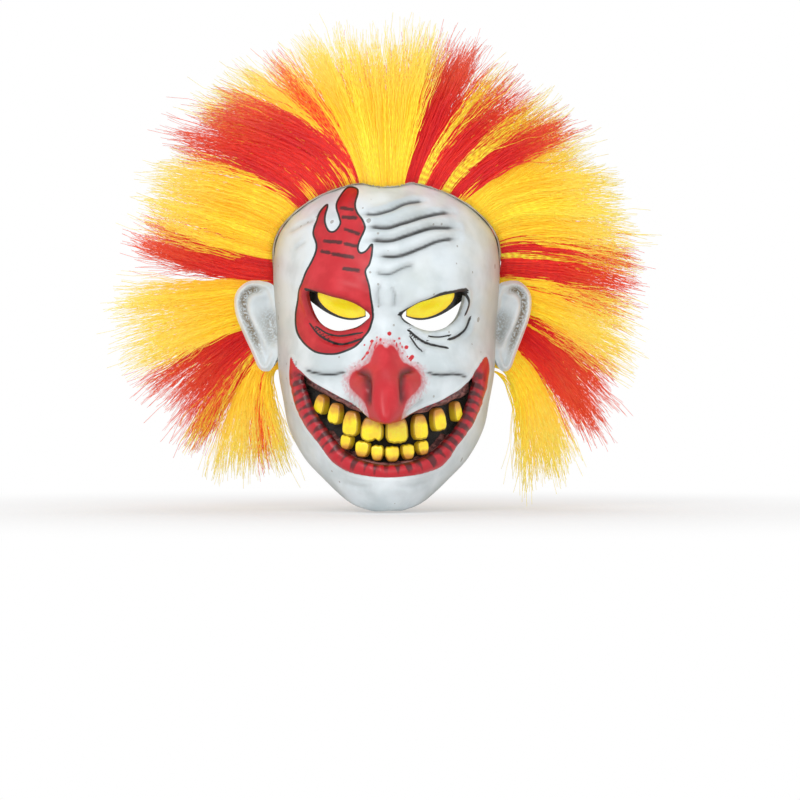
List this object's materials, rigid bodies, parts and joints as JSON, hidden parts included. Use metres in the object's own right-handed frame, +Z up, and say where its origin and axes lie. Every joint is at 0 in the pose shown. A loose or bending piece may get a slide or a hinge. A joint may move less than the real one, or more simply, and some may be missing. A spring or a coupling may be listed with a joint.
{
  "type": "latex halloween clown mask",
  "caption": "Three-quarter latex horror clown mask with crimped tufted hair, cast teeth, a flexing lower jaw and an elastic rear strap.",
  "frame": {"origin": "middle of the wearer's head inside the mask: on the mask's mid plane, level with the pupils, between the ears", "axes": "+Z up through the crown, -Y out of the face, +X towards the viewer's right as the face looks at the viewer"},
  "size_m": [0.364, 0.3096, 0.3393],
  "materials": {
    "latex": "satin",
    "lens": "gloss",
    "gum": "satin",
    "cloth": "matte",
    "teeth": "gloss",
    "foam": "matte",
    "tape": "matte",
    "hair_yellow": "satin",
    "hair_red": "satin",
    "elastic": "matte",
    "slider": "satin",
    "patch": "matte"
  },
  "bodies": {
    "head": {"face_shell": "latex", "eye_lens_left": "lens", "eye_lens_right": "lens", "upper_gum": "gum", "upper_backing": "cloth", "brow_pad": "foam", "tape_front": "tape", "tape_crown": "tape", "tape_rear": "tape", "strap": "elastic", "strap_patch_left": "patch", "strap_patch_right": "patch", "upper_tooth_1": "teeth", "upper_tooth_2": "teeth", "upper_tooth_3": "teeth", "upper_tooth_4": "teeth", "upper_tooth_5": "teeth", "upper_tooth_6": "teeth", "upper_tooth_7": "teeth", "upper_tooth_8": "teeth", "tuft_01": "hair_yellow", "tuft_02": "hair_red", "tuft_03": "hair_yellow", "tuft_04": "hair_red", "tuft_05": "hair_yellow", "tuft_06": "hair_red", "tuft_07": "hair_yellow", "tuft_08": "hair_yellow", "tuft_09": "hair_yellow", "tuft_10": "hair_red", "tuft_11": "hair_red", "tuft_12": "hair_yellow", "tuft_13": "hair_yellow", "tuft_14": "hair_red", "tuft_15": "hair_yellow", "tuft_16": "hair_red", "tuft_17": "hair_yellow", "tuft_18": "hair_yellow", "tuft_19": "hair_red", "tuft_20": "hair_yellow", "tuft_21": "hair_red", "tuft_22": "hair_yellow", "tuft_23": "hair_red", "tuft_24": "hair_yellow", "tuft_25": "hair_red", "tuft_26": "hair_yellow"},
    "jaw": {"jaw_shell": "latex", "lower_gum": "gum", "lower_backing": "cloth", "chin_pad": "foam", "lower_tooth_1": "teeth", "lower_tooth_2": "teeth", "lower_tooth_3": "teeth", "lower_tooth_4": "teeth", "lower_tooth_5": "teeth", "lower_tooth_6": "teeth"},
    "slider": {"strap_slider": "slider"}
  },
  "joints": [
    {"name": "jaw_open", "type": "hinge", "parent": "head", "child": "jaw", "pos_m": [0, 0.005, -0.005], "axis": [1, 0, 0], "range_deg": [0, 10], "stiffness_Nm_per_rad": 2, "springref_deg": -6.88},
    {"name": "slider_slide", "type": "slide", "parent": "head", "child": "slider", "axis": [1, 0, 0], "range_m": [-0.014, 0.014]}
  ]
}
